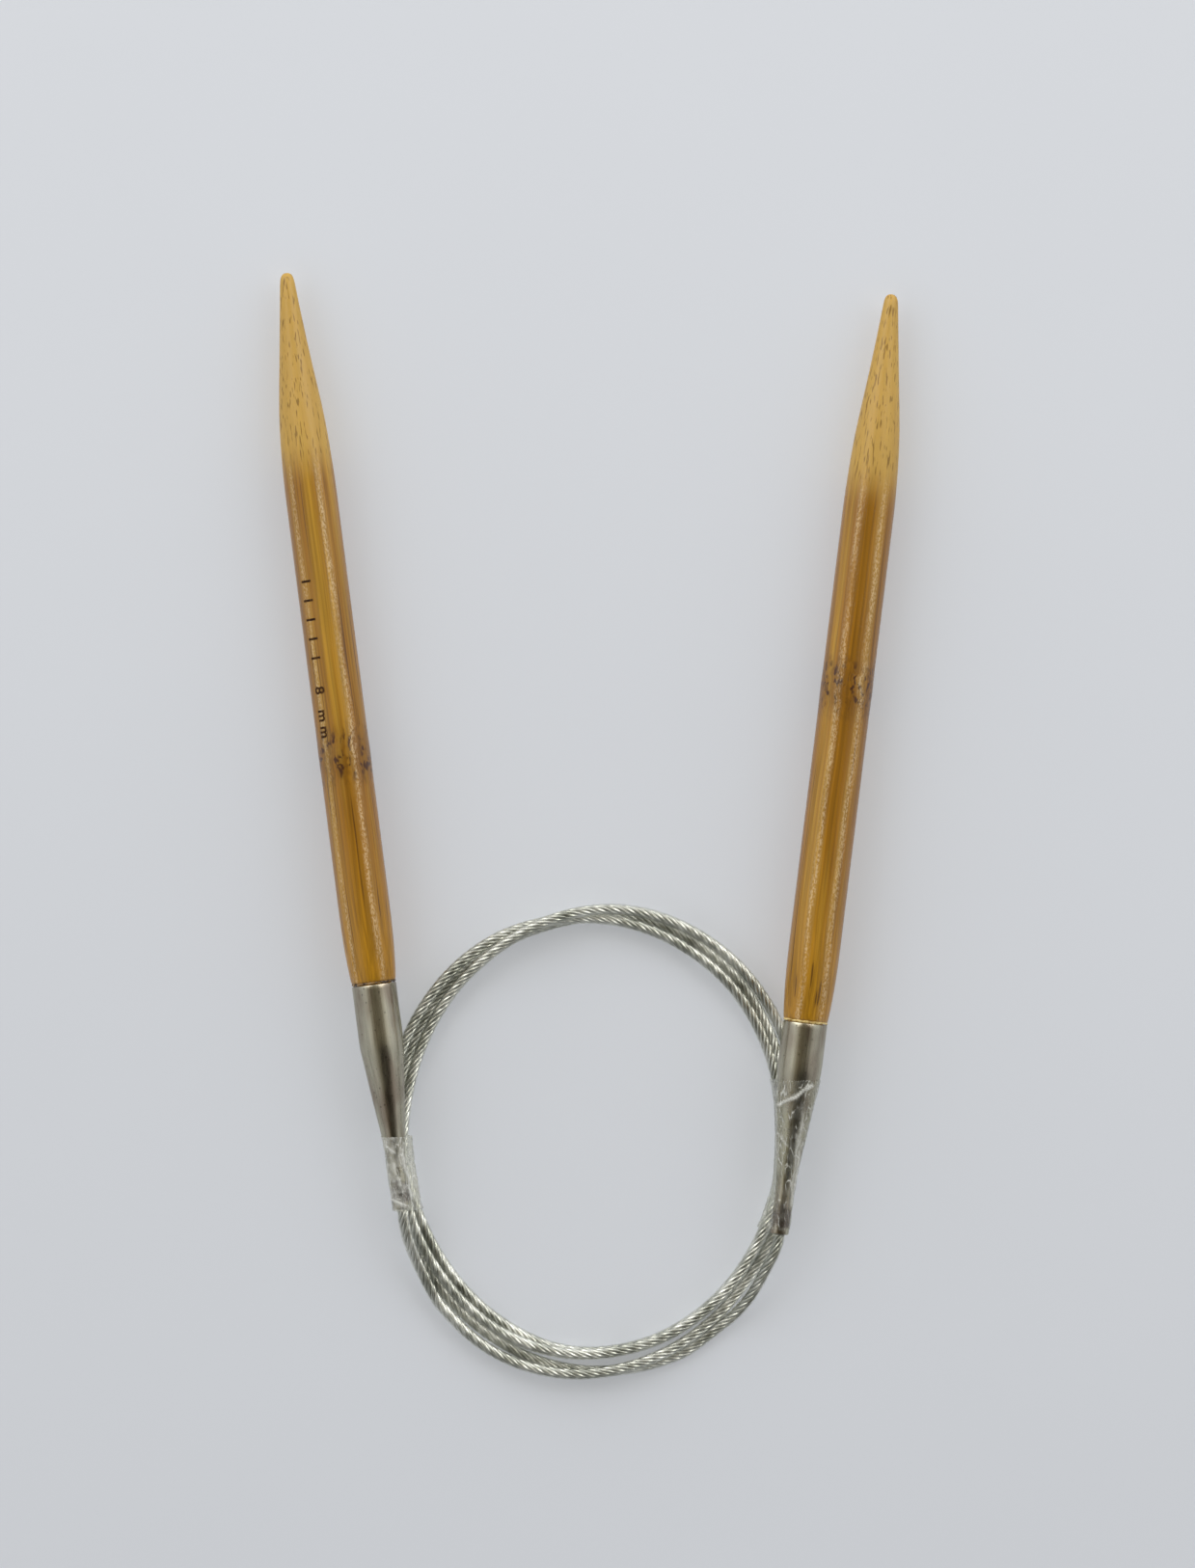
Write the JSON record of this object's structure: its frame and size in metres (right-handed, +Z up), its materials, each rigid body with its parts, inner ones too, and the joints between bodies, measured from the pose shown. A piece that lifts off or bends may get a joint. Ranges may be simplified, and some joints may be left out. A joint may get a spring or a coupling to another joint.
{
  "type": "circular knitting needle",
  "caption": "Bamboo circular knitting needle with steel ferrules, stored with its coated wire cable wound in an oval coil and the ferrules taped to it.",
  "frame": {"origin": "on the resting surface, under the middle of the box around the two needles", "axes": "+Y from the coil towards the needle tips, +Z up off the surface the coil lies on, +X to the right seen from above with the tips away"},
  "size_m": [0.0964, 0.1722, 0.0096],
  "materials": {
    "bamboo": "clear lacquered bamboo, honey amber",
    "adhesive": "amber epoxy line",
    "ferrule_steel": "satin pressed steel",
    "coated_cable": "stainless wire rope in a clear nylon coat",
    "crimp_brass": "plain",
    "clear_tape": "wrinkled clear adhesive tape"
  },
  "bodies": {
    "coil": {"cable_coil": "coated_cable", "cable_lead_left": "coated_cable", "cable_lead_right": "coated_cable", "tape_wrap_left": "clear_tape", "tape_wrap_right": "clear_tape"},
    "needle_left": {"shaft_left": "bamboo", "adhesive_line_left": "adhesive", "ferrule_left": "ferrule_steel", "cable_end_left": "coated_cable", "crimp_sleeve_left": "crimp_brass"},
    "needle_right": {"shaft_right": "bamboo", "adhesive_line_right": "adhesive", "ferrule_right": "ferrule_steel", "cable_end_right": "coated_cable", "crimp_sleeve_right": "crimp_brass"}
  },
  "joints": [
    {"name": "cable_flex_left", "type": "hinge", "parent": "coil", "child": "needle_left", "pos_m": [-0.0289, -0.07059, 0.00618], "axis": [0, 0, 1], "range_deg": [0, 10], "stiffness_Nm_per_rad": 0.002, "deforming": ["tape_wrap_left"]},
    {"name": "cable_flex_right", "type": "hinge", "parent": "coil", "child": "needle_right", "pos_m": [0.02941, -0.07448, 0.00619], "axis": [0, 0, -1], "range_deg": [0, 10], "stiffness_Nm_per_rad": 0.002, "deforming": ["tape_wrap_right"]}
  ]
}
